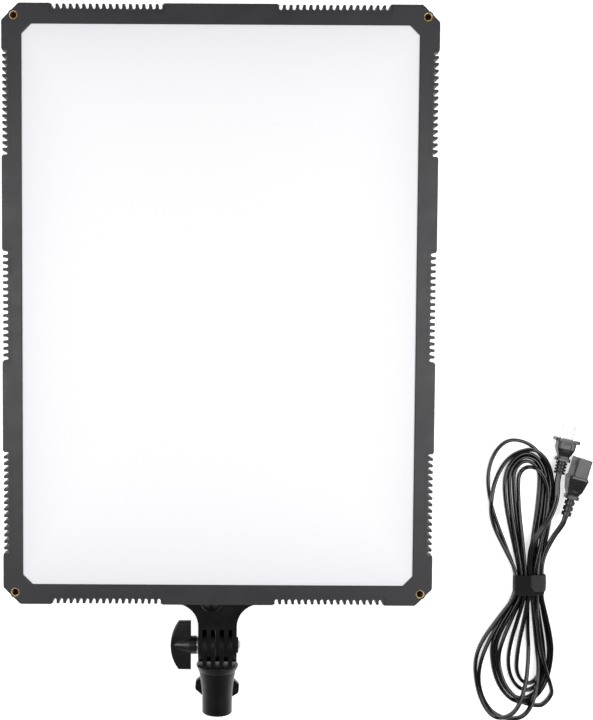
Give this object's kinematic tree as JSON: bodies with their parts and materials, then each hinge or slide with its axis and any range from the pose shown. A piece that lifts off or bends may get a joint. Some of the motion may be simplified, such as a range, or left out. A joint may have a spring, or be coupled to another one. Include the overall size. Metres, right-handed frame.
{
  "type": "led panel light",
  "caption": "Slim rectangular LED studio panel with finned edges, tilting stand socket, rear controls and a mains cord tied in a hank beside it.",
  "frame": {"origin": "on the supporting surface, under the middle of the light's own box (the loose cord not counted); the light lies on its rear feet, face up", "axes": "+Z is the way the panel shines and up from the surface, +Y from the stand socket towards the panel's top edge, +X to the viewer's right when facing the lit side"},
  "size_m": [0.6113, 0.7417, 0.075],
  "materials": {
    "bare_aluminium": "mill finish",
    "black_screw": "black oxide",
    "bracket_black": "satin",
    "brass_insert": "turned",
    "button_grey": "matte",
    "cable_sheath": "glossy vinyl",
    "circuit_board": "solder mask",
    "clear_acrylic": "polished",
    "component_dark": "matte",
    "display_glass": "smoked",
    "frame_black": "fine matte texture",
    "housing_black": "fine matte texture",
    "inlet_plastic": "satin",
    "knob_black": "satin",
    "knob_rubber": "soft touch",
    "led_phosphor": "resin",
    "nickel_contact": "nickel plated",
    "opal_diffuser": "satin opal",
    "panel_grey": "matte",
    "plug_vinyl": "satin vinyl",
    "rocker_black": "gloss",
    "soft_rubber": "matte",
    "tie_fabric": "woven hook and loop",
    "white_film": "matte",
    "zinc_steel": "zinc plated"
  },
  "bodies": {
    "root": {"back_plate": "bare_aluminium", "board_screws": "zinc_steel", "bracket_screws": "black_screw", "connector_body": "plug_vinyl", "connector_lead": "cable_sheath", "control_board": "circuit_board", "control_panel": "panel_grey", "cord_hank": "cable_sheath", "cord_tie": "tie_fabric", "corner_inserts": "brass_insert", "cover_screws": "black_screw", "diffuser_sheet": "opal_diffuser", "display_module": "component_dark", "display_window": "display_glass", "driver_board": "circuit_board", "driver_inductors": "component_dark", "encoder_bodies": "component_dark", "front_frame": "frame_black", "housing_screws": "black_screw", "inlet_pins": "nickel_contact", "led_chips": "led_phosphor", "led_strip_left": "circuit_board", "led_strip_right": "circuit_board", "light_guide": "clear_acrylic", "mains_inlet": "inlet_plastic", "plug_blades": "nickel_contact", "plug_body": "plug_vinyl", "plug_lead": "cable_sheath", "power_housing": "housing_black", "psu_board": "circuit_board", "psu_capacitors": "component_dark", "psu_heatsinks": "bare_aluminium", "psu_transformer": "component_dark", "rear_cover": "frame_black", "reflector_sheet": "white_film", "rocker_frame": "inlet_plastic", "rubber_feet": "soft_rubber", "tact_switches": "component_dark", "tilt_bolt": "zinc_steel", "tilt_washer": "zinc_steel", "upper_bracket": "bracket_black"},
    "socket": {"socket_body": "bracket_black", "lock_insert": "brass_insert"},
    "tilt_insert": {"tilt_knob_insert": "brass_insert"},
    "tilt_wing": {"tilt_knob": "knob_black"},
    "lock_screw": {"lock_stud": "zinc_steel"},
    "lock_wing": {"lock_knob": "knob_black"},
    "dim_dial": {"dim_knob": "knob_rubber", "dim_shaft": "zinc_steel"},
    "cct_dial": {"cct_knob": "knob_rubber", "cct_shaft": "zinc_steel"},
    "mode_key": {"mode_button": "button_grey"},
    "back_key": {"back_button": "button_grey"},
    "channel_key": {"channel_button": "button_grey"},
    "power_key": {"power_rocker": "rocker_black"}
  },
  "joints": [
    {"name": "socket_tilt", "type": "hinge", "parent": "root", "child": "socket", "pos_m": [0, -0.28975, 0.05], "axis": [1, 0, 0], "range_deg": [-90, 90]},
    {"name": "tilt_insert_travel", "type": "slide", "parent": "root", "child": "tilt_insert", "axis": [-1, 0, 0], "range_m": [0, 0.00187]},
    {"name": "tilt_knob_turn", "type": "hinge", "parent": "tilt_insert", "child": "tilt_wing", "pos_m": [-0.03, -0.28975, 0.05], "axis": [-1, 0, 0], "range_deg": [0, 540]},
    {"name": "lock_stud_travel", "type": "slide", "parent": "socket", "child": "lock_screw", "axis": [0, 0, -1], "range_m": [0, 0.00199]},
    {"name": "lock_knob_turn", "type": "hinge", "parent": "lock_screw", "child": "lock_wing", "pos_m": [0, -0.34395, 0.02], "axis": [0, 0, -1], "range_deg": [0, 720]},
    {"name": "dim_turn", "type": "hinge", "parent": "root", "child": "dim_dial", "pos_m": [0.018, 0.11305, 0.01], "axis": [0, 0, -1], "continuous": true},
    {"name": "cct_turn", "type": "hinge", "parent": "root", "child": "cct_dial", "pos_m": [0.058, 0.11305, 0.01], "axis": [0, 0, -1], "continuous": true},
    {"name": "power_rock", "type": "hinge", "parent": "root", "child": "power_key", "pos_m": [0.04, -0.05595, 0.029], "axis": [1, 0, 0], "range_deg": [0, 24]},
    {"name": "mode_press", "type": "slide", "parent": "root", "child": "mode_key", "axis": [0, 0, 1], "range_m": [0, 0.001], "stiffness_N_per_m": 500},
    {"name": "back_press", "type": "slide", "parent": "root", "child": "back_key", "axis": [0, 0, 1], "range_m": [0, 0.001], "stiffness_N_per_m": 500},
    {"name": "channel_press", "type": "slide", "parent": "root", "child": "channel_key", "axis": [0, 0, 1], "range_m": [0, 0.001], "stiffness_N_per_m": 500}
  ],
  "couplings": [
    {"joint": "tilt_knob_turn", "follows": "tilt_insert_travel", "rad_per_m": 5026.5},
    {"joint": "lock_knob_turn", "follows": "lock_stud_travel", "rad_per_m": 6283.2}
  ]
}
